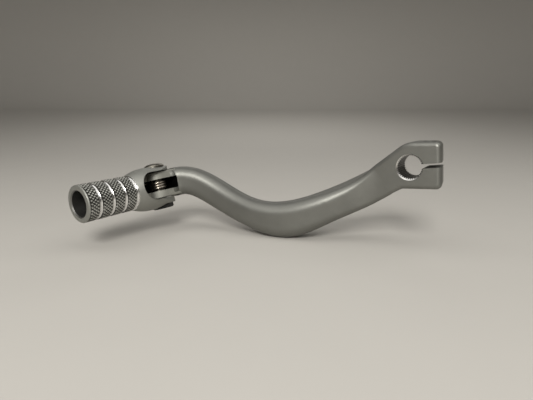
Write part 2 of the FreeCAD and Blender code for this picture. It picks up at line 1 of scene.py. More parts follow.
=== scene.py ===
"""A gear shift lever with a folding toe piece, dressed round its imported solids.

Sizes are in metres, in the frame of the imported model: the origin is in the splined bore, +Y runs along the
shift shaft towards the engine, -X runs forward along the arm and +Z is up. Places on the toe piece are given
in the hinge's own frame: its third axis is the pivot bolt, upwards, and its second runs from the toe
piece's end towards the arm.
"""

import json
import logging
import math
from dataclasses import dataclass
from enum import Enum

import bmesh
import bpy
from mathutils import Matrix, Vector


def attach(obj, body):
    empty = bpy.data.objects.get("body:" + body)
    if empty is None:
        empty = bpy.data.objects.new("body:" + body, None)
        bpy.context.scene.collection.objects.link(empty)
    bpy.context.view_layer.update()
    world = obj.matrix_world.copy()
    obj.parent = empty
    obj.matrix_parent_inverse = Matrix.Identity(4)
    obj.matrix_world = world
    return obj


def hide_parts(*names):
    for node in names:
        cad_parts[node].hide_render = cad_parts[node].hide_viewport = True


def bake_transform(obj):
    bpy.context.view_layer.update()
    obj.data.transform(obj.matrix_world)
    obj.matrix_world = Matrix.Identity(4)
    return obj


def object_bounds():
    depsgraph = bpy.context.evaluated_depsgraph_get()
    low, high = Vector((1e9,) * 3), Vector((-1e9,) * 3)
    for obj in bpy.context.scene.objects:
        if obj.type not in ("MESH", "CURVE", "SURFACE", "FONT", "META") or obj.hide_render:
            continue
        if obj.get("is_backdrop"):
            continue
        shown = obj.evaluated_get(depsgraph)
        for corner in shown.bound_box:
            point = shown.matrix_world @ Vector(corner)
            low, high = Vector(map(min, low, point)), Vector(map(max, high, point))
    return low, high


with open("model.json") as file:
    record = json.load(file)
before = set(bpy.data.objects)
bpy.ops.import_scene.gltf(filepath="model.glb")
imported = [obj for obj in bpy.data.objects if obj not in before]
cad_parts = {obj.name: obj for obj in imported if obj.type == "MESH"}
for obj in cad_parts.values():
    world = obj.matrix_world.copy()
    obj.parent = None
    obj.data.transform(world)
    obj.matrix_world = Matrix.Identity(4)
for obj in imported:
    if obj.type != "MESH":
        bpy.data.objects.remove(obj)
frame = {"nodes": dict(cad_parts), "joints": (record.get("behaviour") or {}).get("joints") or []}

LOG = logging.getLogger("gear_shift_lever")
MM = 0.001
MERGE_DISTANCE = 1e-6
GREEN_SHARE = 0.25
CLOUD_WEIGHT = 0.6
CLOUD_NOISE = {"Detail": 3.0, "Roughness": 0.6}
GRAIN_NOISE = {"Detail": 2.0, "Roughness": 0.7}
NOISE_LOW = 0.3
NOISE_HIGH = 0.7
TIP_TO_ARM = (0.0662, 0.9973, 0.0332)
Colour = tuple[float, float, float]


class Body(str, Enum):
    """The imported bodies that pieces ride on."""

    ARM = "arm"
    TOE_PIECE = "toe_piece"


class Slot(str, Enum):
    """The record's material slots."""

    FORGED = "forged_aluminium"
    TURNED = "turned_aluminium"
    BOLT = "bolt_steel"
    NUT = "nut_steel"
    SPRING = "spring_steel"


class TreeMaker:
    """Adds and links the nodes of one shader or geometry tree."""

    def __init__(self, tree: bpy.types.NodeTree) -> None:
        """Starts from an empty tree.

        Args:
            tree: The node tree to fill.
        """
        self.tree = tree
        tree.nodes.clear()

    def add(self, kind: str, inputs: dict | None = None, **settings: object) -> bpy.types.Node:
        """Adds one node.

        Args:
            kind: The node's type name.
            inputs: What goes in each socket: a plain value or another node's output.
            settings: The node's own properties.

        Returns:
            The new node.
        """
        node = self.tree.nodes.new(kind)
        for name, value in settings.items():
            setattr(node, name, value)
        for name, value in (inputs or {}).items():
            socket = node.inputs[name]
            if isinstance(value, bpy.types.NodeSocket):
                self.tree.links.new(value, socket)
            else:
                socket.default_value = value
        return node

    def math(self, operation: str, first: object, second: object = 0.0) -> bpy.types.NodeSocket:
        """Adds one sum.

        Args:
            operation: The sum's name.
            first: A value or a socket.
            second: A value or a socket.

        Returns:
            The socket with the result.
        """
        return self.add("ShaderNodeMath", {0: first, 1: second}, operation=operation).outputs[0]


def grey(level: float, warmth: float = 0.0) -> Colour:
    """A grey, a little yellower with warmth."""
    return (level, level * (1 - GREEN_SHARE * warmth), level * (1 - warmth))


def rgba(colour: Colour) -> tuple[float, float, float, float]:
    """A colour with full cover."""
    return (*colour, 1.0)


@dataclass(frozen=True)
class MetalFinish:
    """A metal surface: its colour, its gloss, and the fine grain that blasting or a tool left on it."""

    name: str
    colour: Colour
    roughness: float
    metallic: float = 1.0
    cloud_size: float = 9.0 * MM
    cloud_share: float = 0.08
    grain_size: float = 0.35 * MM
    grain_depth: float = 0.02 * MM
    grain_stretch: tuple[float, float, float] = (1.0, 1.0, 1.0)
    gloss_spread: float = 0.06

    def material(self) -> bpy.types.Material:
        """Makes the material.

        Returns:
            A material on Object coordinates.
        """
        made = bpy.data.materials.new(self.name)
        made.use_nodes = True
        tree = TreeMaker(made.node_tree)
        place = tree.add("ShaderNodeTexCoord").outputs["Object"]
        clouds = tree.add(
            "ShaderNodeTexNoise",
            {"Vector": place, "Scale": 1 / self.cloud_size, **CLOUD_NOISE},
        ).outputs["Fac"]
        stretched = tree.add(
            "ShaderNodeMapping", {"Vector": place, "Scale": self.grain_stretch}
        ).outputs["Vector"]
        grain = tree.add(
            "ShaderNodeTexNoise",
            {"Vector": stretched, "Scale": 1 / self.grain_size, **GRAIN_NOISE},
        ).outputs["Fac"]
        mixed = tree.math(
            "ADD",
            tree.math("MULTIPLY", clouds, CLOUD_WEIGHT),
            tree.math("MULTIPLY", grain, 1 - CLOUD_WEIGHT),
        )
        darker = tuple(part * (1 - self.cloud_share) for part in self.colour)
        lighter = tuple(min(part * (1 + self.cloud_share), 1.0) for part in self.colour)
        ramp = tree.add("ShaderNodeValToRGB", {"Fac": mixed})
        ramp.color_ramp.elements[0].position = NOISE_LOW
        ramp.color_ramp.elements[0].color = rgba(darker)
        ramp.color_ramp.elements[1].position = NOISE_HIGH
        ramp.color_ramp.elements[1].color = rgba(lighter)
        gloss = tree.add(
            "ShaderNodeMapRange",
            {
                "Value": grain,
                "From Min": NOISE_LOW,
                "From Max": NOISE_HIGH,
                "To Min": self.roughness - self.gloss_spread,
                "To Max": self.roughness + self.gloss_spread,
            },
        ).outputs["Result"]
        bump = tree.add(
            "ShaderNodeBump", {"Height": grain, "Strength": 1.0, "Distance": self.grain_depth}
        ).outputs["Normal"]
        shader = tree.add(
            "ShaderNodeBsdfPrincipled",
            {
                "Base Color": ramp.outputs["Color"],
                "Metallic": self.metallic,
                "Roughness": gloss,
                "Normal": bump,
            },
        ).outputs["BSDF"]
        tree.add("ShaderNodeOutputMaterial", {"Surface": shader})
        return made


FORGED_FINISH = MetalFinish("blasted_forging", (0.2, 0.2, 0.183), 0.47, 0.8)
MACHINED_FINISH = MetalFinish("machined_chamfer", grey(0.8, 0.04), 0.3, grain_depth=0.004 * MM)
# Painted shade: the serrated bore is coloured dark grey to stand for the shade inside it.
BORE_SHADE_FINISH = MetalFinish("broached_bore_painted_shade", grey(0.16, 0.08), 0.34, grain_stretch=(1.0, 0.1, 1.0))
TONGUE_FINISH = MetalFinish("milled_tongue", (0.3, 0.297, 0.265), 0.58, 0.55)
# Painted shade: near black for the shade inside the spring's slot and on the fork's slot walls.
SLOT_SHADE_FINISH = MetalFinish("slot_painted_shade", grey(0.035, 0.1), 0.4, cloud_share=0.3)
TURNED_FINISH = MetalFinish("blasted_barrel", (0.29, 0.291, 0.268), 0.52, 0.75)
GROOVE_FINISH = MetalFinish("bright_grooves", grey(0.85, 0.02), 0.2, grain_depth=0.002 * MM)
# Painted shade: the end hole's walls are darker than the barrel, for the shade inside the hole.
HOLE_SHADE_FINISH = MetalFinish("drilled_hole_painted_shade", grey(0.2, 0.06), 0.42)
STUD_FINISH = MetalFinish("knurl_tops", (0.47, 0.472, 0.435), 0.5, 0.7, grain_depth=0.006 * MM)
# Painted shade: near black for the shade between the knurl's studs.
VALLEY_SHADE_FINISH = MetalFinish("knurl_valleys_painted_shade", grey(0.09, 0.1), 0.5, cloud_share=0.3)
BOLT_FINISH = MetalFinish("bolt_satin", (0.28, 0.262, 0.225), 0.3, grain_depth=0.01 * MM)
NUT_FINISH = MetalFinish("nut_black", grey(0.03, 0.05), 0.42, cloud_share=0.25)
WIRE_FINISH = MetalFinish("spring_wire", (0.4, 0.36, 0.31), 0.28, grain_depth=0.004 * MM)


@dataclass(frozen=True)
class HingeFrame:
    """The frame of the folding hinge, about the pivot bolt."""

    origin: Vector
    pin: Vector
    inward: Vector

    @classmethod
    def of_joint(cls, joint: dict, towards_arm: Vector) -> "HingeFrame":
        """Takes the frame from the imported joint.

        Args:
            joint: The record's hinge.
            towards_arm: A direction from the toe piece's end to the arm.

        Returns:
            The hinge's frame.
        """
        pin = Vector(joint["axis"]).normalized()
        inward = (towards_arm - pin * towards_arm.dot(pin)).normalized()
        return cls(Vector(joint["pos_m"]), pin, inward)

    def matrix(self) -> Matrix:
        """Gives the move from the hinge's frame to the model's.

        Returns:
            A turn and a shift.
        """
        across = self.inward.cross(self.pin)
        turn = Matrix((across, self.inward, self.pin)).transposed()
        return Matrix.Translation(self.origin) @ turn.to_4x4()

    def point(self, across: float, inward: float, up: float) -> Vector:
        """A point of the hinge's frame, in the model's."""
        return self.matrix() @ Vector((across, inward, up))


HINGE = HingeFrame.of_joint(frame["joints"][0], Vector(TIP_TO_ARM))


def node_copy(node: str) -> bpy.types.Mesh:
    """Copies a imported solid's mesh and joins its loose triangles.

    Args:
        node: The solid's name.

    Returns:
        A new mesh.
    """
    mesh = frame["nodes"][node].data.copy()
    mesh.materials.clear()
    work = bmesh.new()
    work.from_mesh(mesh)
    bmesh.ops.remove_doubles(work, verts=work.verts, dist=MERGE_DISTANCE)
    bmesh.ops.dissolve_degenerate(work, edges=work.edges, dist=MERGE_DISTANCE)
    work.to_mesh(mesh)
    work.free()
    bare = bpy.data.meshes.new(node + "_bare")
    bare.from_pydata([v.co for v in mesh.vertices], [], [tuple(p.vertices) for p in mesh.polygons])
    bpy.data.meshes.remove(mesh)
    return bare


def new_piece(name: str, mesh: bpy.types.Mesh) -> bpy.types.Object:
    """Makes an object of a mesh, at the origin.

    Args:
        name: The piece's name.
        mesh: Its mesh.

    Returns:
        The new object.
    """
    mesh.name = name
    piece = bpy.data.objects.new(name, mesh)
    bpy.context.scene.collection.objects.link(piece)
    return piece


def applied(piece: bpy.types.Object) -> None:
    """Turns a piece's modifiers into plain mesh.

    Args:
        piece: The piece.
    """
    depsgraph = bpy.context.evaluated_depsgraph_get()
    mesh = bpy.data.meshes.new_from_object(
        piece.evaluated_get(depsgraph), preserve_all_data_layers=True, depsgraph=depsgraph
    )
    piece.modifiers.clear()
    old = piece.data
    piece.data = mesh
    mesh.name = piece.name
    bpy.data.meshes.remove(old)


def shade(piece: bpy.types.Object, sharp_degrees: float) -> None:
    """Shades a piece smooth between its sharp edges, with flats kept flat.

    Args:
        piece: The piece.
        sharp_degrees: The angle past which an edge is sharp.
    """
    piece.data.shade_smooth()
    piece.data.set_sharp_from_angle(angle=math.radians(sharp_degrees))
    weighting = piece.modifiers.new("flats", "WEIGHTED_NORMAL")
    weighting.keep_sharp = True
    weighting.mode = "FACE_AREA"
    applied(piece)


def take_material(mesh: bpy.types.Mesh, finishes: list[MetalFinish]) -> None:
    """Gives a mesh its materials, in order.

    Args:
        mesh: The mesh.
        finishes: The finishes of its materials.
    """
    for finish in finishes:
        known = bpy.data.materials.get(finish.name)
        mesh.materials.append(known or finish.material())


def hand_over(piece: bpy.types.Object, body: Body, slot: Slot, *nodes: str) -> None:
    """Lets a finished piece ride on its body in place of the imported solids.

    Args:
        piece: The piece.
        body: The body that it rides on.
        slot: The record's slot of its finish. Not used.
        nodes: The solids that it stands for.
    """
    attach(piece, body.value)
    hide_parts(*nodes)
    LOG.info("%s: %d faces on %s", piece.name, len(piece.data.polygons), body.value)


def tree_socket(tree: bpy.types.NodeTree, name: str, kind: str) -> None:
    """Adds a named input to a geometry tree."""
    tree.interface.new_socket(name, in_out="INPUT", socket_type=kind)


def run_tree(piece: bpy.types.Object, tree: bpy.types.NodeTree, values: dict[str, object]) -> None:
    """Runs a geometry tree on a piece and keeps the plain mesh.

    Args:
        piece: The object that takes the result.
        tree: The geometry tree.
        values: A value for each named input.
    """
    modifier = piece.modifiers.new(tree.name, "NODES")
    modifier.node_group = tree
    for item in tree.interface.items_tree:
        if item.name in values:
            modifier[item.identifier] = values[item.name]
    applied(piece)


def knurl_tree() -> bpy.types.NodeTree:
    """Builds the tree that sets blunt four-sided studs in a diamond pattern round a core.

    Returns:
        A geometry tree whose axis is Y.
    """
    tree = bpy.data.node_groups.new("diamond_knurl", "GeometryNodeTree")
    make = TreeMaker(tree)
    tree.interface.new_socket("Geometry", in_out="OUTPUT", socket_type="NodeSocketGeometry")
    tree_socket(tree, "Core Radius", "NodeSocketFloat")
    tree_socket(tree, "First Row", "NodeSocketFloat")
    tree_socket(tree, "Row Spacing", "NodeSocketFloat")
    tree_socket(tree, "Rows", "NodeSocketInt")
    tree_socket(tree, "Studs Around", "NodeSocketInt")
    tree_socket(tree, "Stud Height", "NodeSocketFloat")
    tree_socket(tree, "Tip Share", "NodeSocketFloat")
    tree_socket(tree, "Root Depth", "NodeSocketFloat")
    tree_socket(tree, "Finish", "NodeSocketMaterial")
    given = make.add("NodeGroupInput").outputs

    around = given["Studs Around"]
    index = make.add("GeometryNodeInputIndex").outputs[0]
    row = make.math("FLOOR", make.math("DIVIDE", index, around))
    column = make.math("MODULO", index, around)
    shift = make.math("MULTIPLY", make.math("MODULO", row, 2.0), 0.5)
    step = make.math("DIVIDE", math.tau, around)
    angle = make.math("MULTIPLY", make.math("ADD", column, shift), step)
    level = make.math("ADD", given["First Row"], make.math("MULTIPLY", row, given["Row Spacing"]))
    foot = make.math("SUBTRACT", given["Core Radius"], given["Root Depth"])
    sine, cosine = make.math("SINE", angle), make.math("COSINE", angle)
    outward = make.add("ShaderNodeCombineXYZ", {"X": sine, "Y": 0.0, "Z": cosine}).outputs[0]
    place = make.add(
        "ShaderNodeCombineXYZ",
        {"X": make.math("MULTIPLY", sine, foot), "Y": level, "Z": make.math("MULTIPLY", cosine, foot)},
    ).outputs[0]
    count = make.math("MULTIPLY", given["Rows"], around)
    points = make.add("GeometryNodePoints", {"Count": count, "Position": place}).outputs[0]

    rise = make.math("ADD", given["Stud Height"], given["Root Depth"])
    narrowing = make.math("SUBTRACT", 1.0, given["Tip Share"])
    root_share = make.math("DIVIDE", given["Root Depth"], given["Stud Height"])
    root_spread = make.math("MULTIPLY", narrowing, root_share)
    stud = make.add(
        "GeometryNodeMeshCone",
        {
            "Vertices": 4,
            "Radius Top": given["Tip Share"],
            "Radius Bottom": make.math("ADD", 1.0, root_spread),
            "Depth": rise,
        },
        fill_type="NGON",
    ).outputs["Mesh"]
    half_step = make.math("DIVIDE", step, 2.0)
    half_width = make.math("MULTIPLY", given["Core Radius"], make.math("TANGENT", half_step))
    size = make.add(
        "ShaderNodeCombineXYZ", {"X": half_width, "Y": given["Row Spacing"], "Z": 1.0}
    ).outputs[0]
    turn = make.add(
        "FunctionNodeAxesToRotation",
        {"Primary Axis": outward, "Secondary Axis": (0.0, 1.0, 0.0)},
        primary_axis="Z",
        secondary_axis="Y",
    ).outputs[0]
    placed = make.add(
        "GeometryNodeInstanceOnPoints",
        {"Points": points, "Instance": stud, "Rotation": turn, "Scale": size},
    ).outputs[0]
    real = make.add("GeometryNodeRealizeInstances", {"Geometry": placed}).outputs[0]
    dressed = make.add(
        "GeometryNodeSetMaterial", {"Geometry": real, "Material": given["Finish"]}
    ).outputs[0]
    make.add("NodeGroupOutput", {"Geometry": dressed})
    return tree


def wire_tree() -> bpy.types.NodeTree:
    """Builds the tree that sweeps a round wire along a line of edges.

    Returns:
        A geometry tree.
    """
    tree = bpy.data.node_groups.new("round_wire", "GeometryNodeTree")
    make = TreeMaker(tree)
    tree.interface.new_socket("Geometry", in_out="OUTPUT", socket_type="NodeSocketGeometry")
    tree_socket(tree, "Geometry", "NodeSocketGeometry")
    tree_socket(tree, "Wire Radius", "NodeSocketFloat")
    tree_socket(tree, "Sides", "NodeSocketInt")
    tree_socket(tree, "Finish", "NodeSocketMaterial")
    given = make.add("NodeGroupInput").outputs
    path = make.add("GeometryNodeMeshToCurve", {"Mesh": given["Geometry"]}).outputs[0]
    section = make.add(
        "GeometryNodeCurvePrimitiveCircle",
        {"Resolution": given["Sides"], "Radius": given["Wire Radius"]},
    ).outputs[0]
    tube = make.add(
        "GeometryNodeCurveToMesh", {"Curve": path, "Profile Curve": section, "Fill Caps": True}
    ).outputs[0]
    real = make.add("GeometryNodeRealizeInstances", {"Geometry": tube}).outputs[0]
    dressed = make.add(
        "GeometryNodeSetMaterial", {"Geometry": real, "Material": given["Finish"]}
    ).outputs[0]
    make.add("NodeGroupOutput", {"Geometry": dressed})
    return tree


class ArmPart(Enum):
    """The surfaces of the forging, in the order of its materials."""

    FORGED = 0
    BORE = 1
    SLOT = 2
    CHAMFER = 3
    TONGUE = 4


@dataclass
class LeverArm:
    """The forging: splined eye, S-bent arm and tongue."""

    bore_radius: float = 6.05 * MM
    mouth_radius: float = 6.3 * MM
    eye_half_thickness: float = 8.0 * MM
    slot_half_height: float = 3.25 * MM
    slot_back: float = 4.95 * MM
    slot_end: float = 8.3 * MM
    shoulder: float = 10.2 * MM
    flatness: float = 0.9999
    end_facing: float = 0.999
    spare: float = 0.02 * MM
    sharp_degrees: float = 32.0

    def build(self) -> bpy.types.Object:
        """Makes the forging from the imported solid.

        Returns:
            The finished piece.
        """
        piece = new_piece("arm_forging", node_copy("lever_arm"))
        take_material(piece.data, [
            FORGED_FINISH, BORE_SHADE_FINISH, SLOT_SHADE_FINISH, MACHINED_FINISH, TONGUE_FINISH
        ])
        self.dress(piece)
        work = bmesh.new()
        work.from_mesh(piece.data)
        for side in (-1, 1):
            self.chamfer_mouth(work, side)
        bmesh.ops.recalc_face_normals(work, faces=work.faces)
        work.to_mesh(piece.data)
        work.free()
        shade(piece, self.sharp_degrees)
        hand_over(piece, Body.ARM, Slot.FORGED, "lever_arm")
        return piece

    def dress(self, piece: bpy.types.Object) -> None:
        """Leaves the forging blasted and its tongue milled, and paints shade on its bore and on the walls of
        the spring's slot.

        Args:
            piece: The forging.
        """
        to_hinge = HINGE.matrix().inverted()
        for face in piece.data.polygons:
            middle = face.center
            radius = math.hypot(middle.x, middle.z)
            if radius < self.bore_radius and abs(middle.y) < self.eye_half_thickness - self.spare:
                # The bore's walls take the dark painted shade.
                face.material_index = ArmPart.BORE.value
            elif self.in_slot(to_hinge @ middle):
                # The spring's slot walls take the near-black painted shade.
                face.material_index = ArmPart.SLOT.value
            elif self.on_tongue(to_hinge @ middle, to_hinge.to_3x3() @ face.normal):
                face.material_index = ArmPart.TONGUE.value

    def chamfer_mouth(self, work: bmesh.types.BMesh, side: int) -> None:
        """Turns a bright chamfer on the ends of the serrations, tapering out at the slit.

        Args:
            work: The forging's mesh.
            side: Which end of the bore: -1 for the outer one, 1 for the engine's.
        """
        level = side * self.eye_half_thickness
        flats = {
            f for f in work.faces
            if abs(f.normal.y) > self.end_facing and all(abs(v.co.y - level) < self.spare for v in f.verts)
        }
        border = {e for f in flats for e in f.edges if sum(g in flats for g in e.link_faces) == 1}
        edge = next(iter(border))
        loop = [edge.verts[0]]
        while len(loop) < len(border):
            loop.append(edge.other_vert(loop[-1]))
            edge = next(e for e in loop[-1].link_edges if e in border and e is not edge)
        bmesh.ops.delete(work, geom=list(flats), context="FACES_KEEP_BOUNDARY")

        radii = [math.hypot(v.co.x, v.co.z) for v in loop]
        toothed = [radius < self.bore_radius for radius in radii]
        count = len(loop)
        outer = []
        for i, vertex in enumerate(loop):
            if not (toothed[i - 1] and toothed[i] and toothed[(i + 1) % count]):
                outer.append(vertex)
                continue
            spread = self.mouth_radius / radii[i]
            outer.append(work.verts.new((vertex.co.x * spread, level, vertex.co.z * spread)))
            vertex.co.y = level - side * (self.mouth_radius - radii[i])
        work.faces.new(outer)
        for i in range(count):
            j = (i + 1) % count
            corners = dict.fromkeys((loop[i], loop[j], outer[j], outer[i]))
            if len(corners) > 2:
                work.faces.new(list(corners)).material_index = ArmPart.CHAMFER.value

    def on_tongue(self, point: Vector, normal: Vector) -> bool:
        """Tells the tongue's milled flats, chamfers and round end from the forged root.

        Args:
            point: The middle of a face, in the hinge's frame.
            normal: The direction that the face looks in, in the same frame.

        Returns:
            Whether the face is on the tongue.
        """
        across, up = abs(normal.x), abs(normal.z)
        is_flat = max(across, up, (across + up) * math.sqrt(0.5)) > self.flatness
        return point.y < 0.0 or (is_flat and point.y < self.shoulder)

    def in_slot(self, point: Vector) -> bool:
        """Tells whether a point is on a wall of the spring's slot.

        Args:
            point: A point of the hinge's frame.

        Returns:
            Whether it is.
        """
        inside = point.x > -self.slot_back - self.spare and point.y < self.slot_end + self.spare
        return inside and abs(point.z) < self.slot_half_height + self.spare


class BarrelPart(Enum):
    """The surfaces of the toe piece, in the order of its materials."""

    BODY = 0
    GROOVE = 1
    HOLE = 2
    STUD = 3
    VALLEY = 4
    SLOT = 5


@dataclass
class ToePiece:
    """The folding tip: a grooved and knurled barrel with a hole in its end, a flare and a fork."""

    barrel_radius: float = 9.25 * MM
    barrel_drop: float = 0.8 * MM
    end: float = 47.6 * MM
    flare_start: float = 19.55 * MM
    groove_radius: float = 0.85 * MM
    grooves: tuple[float, ...] = (20.4 * MM, 27.3 * MM, 34.2 * MM, 41.1 * MM)
    nose_radius: float = 0.7 * MM
    hole_radius: float = 6.4 * MM
    hole_chamfer: float = 0.5 * MM
    hole_depth: float = 20.0 * MM
    drill_point: float = 3.85 * MM
    studs_around: int = 34
    stud_height: float = 0.45 * MM
    stud_tip: float = 0.6
    top_facing: float = 0.95
    stud_root: float = 0.04 * MM
    row_spacing: float = 0.95 * MM
    shoulder: float = 0.05 * MM
    slot_radius: float = 7.6 * MM
    slot_centre: float = 9.0 * MM
    slot_lean: float = 0.3
    spare: float = 0.06 * MM
    cut_spare: float = 0.001 * MM
    flare_groove_degrees: float = 15.0
    columns_a_stud: int = 4
    groove_steps: int = 10
    nose_steps: int = 8
    sharp_degrees: float = 28.0

    def build(self) -> bpy.types.Object:
        """Makes the tip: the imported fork, a new barrel stitched to it, and the knurl.

        Returns:
            The finished piece.
        """
        mesh = self.fork()
        self.add_barrel(mesh)
        mesh.transform(HINGE.matrix())
        piece = new_piece("toe_piece", mesh)
        take_material(mesh, [
            TURNED_FINISH, GROOVE_FINISH, HOLE_SHADE_FINISH, STUD_FINISH, VALLEY_SHADE_FINISH, SLOT_SHADE_FINISH
        ])
        self.add_knurl(piece)
        shade(piece, self.sharp_degrees)
        hand_over(piece, Body.TOE_PIECE, Slot.TURNED, "folding_tip")
        return piece

    def fork(self) -> bpy.types.Mesh:
        """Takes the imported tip's fork and flare.

        Returns:
            A mesh in the hinge's frame, open where the barrel starts.
        """
        mesh = node_copy("folding_tip")
        mesh.transform(HINGE.matrix().inverted())
        work = bmesh.new()
        work.from_mesh(mesh)
        cut = -self.flare_start - self.cut_spare
        beyond = [f for f in work.faces if f.calc_center_median().y < cut]
        bmesh.ops.delete(work, geom=beyond, context="FACES")
        for face in work.faces:
            if abs(face.normal.x) < self.slot_lean and self.in_slot(face.calc_center_median()):
                # The fork's slot walls take the near-black painted shade.
                face.material_index = BarrelPart.SLOT.value
        work.to_mesh(mesh)
        work.free()
        return mesh

    def in_slot(self, point: Vector) -> bool:
        """Tells whether a point is on the wall of the fork's slot.

        Args:
            point: A point of the hinge's frame.

        Returns:
            Whether it is.
        """
        if point.y < -self.slot_centre:
            off = math.hypot(point.y + self.slot_centre, point.z) - self.slot_radius
        else:
            off = abs(point.z) - self.slot_radius
        return abs(off) < self.spare

    def profile(self) -> list[tuple[float, float, BarrelPart]]:
        """Runs down the barrel from its first groove to the bottom of its end hole.

        Returns:
            Distance from the pivot, radius and material of each ring.
        """
        rings: list[tuple[float, float, BarrelPart]] = []
        core = self.barrel_radius - self.stud_height
        reach = math.asin(self.stud_height / self.groove_radius)
        for middle in self.grooves:
            first = math.radians(self.flare_groove_degrees) if middle == self.grooves[0] else reach
            for i in range(self.groove_steps + 1):
                angle = first + (math.pi - reach - first) * i / self.groove_steps
                depth = self.groove_radius * math.sin(angle)
                along = middle - self.groove_radius * math.cos(angle)
                # The core between the studs takes the valleys' painted shade.
                part = BarrelPart.VALLEY if i == 0 else BarrelPart.GROOVE
                rings.append((along, self.barrel_radius - depth, part))
        nose = self.end - self.nose_radius
        rings.append((nose - self.shoulder, core, BarrelPart.VALLEY))
        for i in range(self.nose_steps + 1):
            angle = math.pi / 2 * i / self.nose_steps
            radius = self.barrel_radius - self.nose_radius * (1 - math.cos(angle))
            rings.append((nose + self.nose_radius * math.sin(angle), radius, BarrelPart.BODY))
        rings.append((self.end, self.hole_radius + self.hole_chamfer, BarrelPart.BODY))
        rings.append((self.end - self.hole_chamfer, self.hole_radius, BarrelPart.HOLE))
        rings.append((self.end - self.hole_depth, self.hole_radius, BarrelPart.HOLE))
        return rings

    def add_barrel(self, mesh: bpy.types.Mesh) -> None:
        """Stitches the turned barrel to the open fork.

        Args:
            mesh: The fork's mesh, in the hinge's frame.
        """
        work = bmesh.new()
        work.from_mesh(mesh)
        rim = [v for v in work.verts if any(e.is_boundary for e in v.link_edges)]
        columns = self.columns_a_stud * self.studs_around
        profile = self.profile()
        loops = []
        for along, radius, _ in profile:
            loop = []
            for i in range(columns):
                angle = math.tau * i / columns
                spot = (radius * math.sin(angle), -along, radius * math.cos(angle) - self.barrel_drop)
                loop.append(work.verts.new(spot))
            loops.append(loop)
        tip = work.verts.new((0.0, -(self.end - self.hole_depth - self.drill_point), -self.barrel_drop))
        for ring, (first, second) in enumerate(zip(loops, loops[1:])):
            material = profile[ring + 1][2].value
            for i in range(columns):
                j = (i + 1) % columns
                work.faces.new((first[i], second[i], second[j], first[j])).material_index = material
        for i in range(columns):
            j = (i + 1) % columns
            work.faces.new((loops[-1][i], tip, loops[-1][j])).material_index = BarrelPart.HOLE.value
        self.stitch(work, rim, loops[0])
        bmesh.ops.recalc_face_normals(work, faces=work.faces)
        work.to_mesh(mesh)
        work.free()

    def stitch(
        self, work: bmesh.types.BMesh, rim: list[bmesh.types.BMVert], ring: list[bmesh.types.BMVert]
    ) -> None:
        """Fills the strip between the fork's rim and the barrel's first ring.

        Args:
            work: The mesh that is worked on.
            rim: The fork's open rim.
            ring: The barrel's first ring.
        """

        def turn(vertex: bmesh.types.BMVert) -> float:
            """The angle of a vertex about the barrel's axis."""
            return math.atan2(vertex.co.x, vertex.co.z + self.barrel_drop) % math.tau

        outer, inner = sorted(rim, key=turn), sorted(ring, key=turn)
        i = j = 0
        while i < len(outer) or j < len(inner):
            next_outer = turn(outer[i + 1]) if i + 1 < len(outer) else turn(outer[0]) + math.tau
            next_inner = turn(inner[j + 1]) if j + 1 < len(inner) else turn(inner[0]) + math.tau
            a, b = outer[i % len(outer)], inner[j % len(inner)]
            if j >= len(inner) or (i < len(outer) and next_outer <= next_inner):
                i += 1
                third = outer[i % len(outer)]
            else:
                j += 1
                third = inner[j % len(inner)]
            work.faces.new((a, b, third)).material_index = BarrelPart.GROOVE.value

    def bands(self) -> list[tuple[float, float]]:
        """Lists the knurled bands.

        Returns:
            Where each band starts and ends, from the pivot.
        """
        half = math.sqrt(self.groove_radius ** 2 - self.stud_height ** 2)
        starts = [middle + half for middle in self.grooves]
        ends = [middle - half for middle in self.grooves[1:]] + [self.end - self.nose_radius - self.shoulder]
        return list(zip(starts, ends))

    def add_knurl(self, piece: bpy.types.Object) -> None:
        """Adds the knurl's studs to the barrel's bands, with painted shade on their flanks.

        Args:
            piece: The toe piece.
        """
        tree = knurl_tree()
        work = bmesh.new()
        work.from_mesh(piece.data)
        for start, end in self.bands():
            steps = round((end - start) / self.row_spacing)
            spacing = (end - start) / steps
            band = new_piece("knurl_band", bpy.data.meshes.new("knurl_band"))
            run_tree(band, tree, {
                "Core Radius": self.barrel_radius - self.stud_height,
                "First Row": start + spacing,
                "Row Spacing": spacing,
                "Rows": steps - 1,
                "Studs Around": self.studs_around,
                "Stud Height": self.stud_height,
                "Tip Share": self.stud_tip,
                "Root Depth": self.stud_root,
                "Finish": piece.data.materials[BarrelPart.STUD.value],
            })
            for face in band.data.polygons:
                outward = Vector((face.center.x, 0.0, face.center.z)).normalized()
                is_top = face.normal.dot(outward) > self.top_facing
                # Faces that don't look straight out, the flanks and valleys, take the dark painted shade.
                face.material_index = (BarrelPart.STUD if is_top else BarrelPart.VALLEY).value
            flip = Matrix.Translation((0.0, 0.0, -self.barrel_drop)) @ Matrix.Rotation(math.pi, 4, "Z")
            band.data.transform(HINGE.matrix() @ flip)
            work.from_mesh(band.data)
            mesh = band.data
            bpy.data.objects.remove(band)
            bpy.data.meshes.remove(mesh)
        work.to_mesh(piece.data)
        work.free()
        bpy.data.node_groups.remove(tree)


@dataclass
class PivotBolt:
    """The low-headed bolt that the toe piece folds on."""

    sharp_degrees: float = 28.0

    def build(self) -> bpy.types.Object:
        """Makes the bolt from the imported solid.

        Returns:
            The finished piece.
        """
        piece = new_piece("pivot_bolt_head_and_shank", node_copy("pivot_bolt"))
        take_material(piece.data, [BOLT_FINISH])
        shade(piece, self.sharp_degrees)
        hand_over(piece, Body.TOE_PIECE, Slot.BOLT, "pivot_bolt")
        return piece


@dataclass
class PivotNut:
    """The thin nut under the fork."""

    sharp_degrees: float = 28.0

    def build(self) -> bpy.types.Object:
        """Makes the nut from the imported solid.

        Returns:
            The finished piece.
        """
        piece = new_piece("pivot_thin_nut", node_copy("pivot_nut"))
        take_material(piece.data, [NUT_FINISH])
        shade(piece, self.sharp_degrees)
        hand_over(piece, Body.TOE_PIECE, Slot.NUT, "pivot_nut")
        return piece


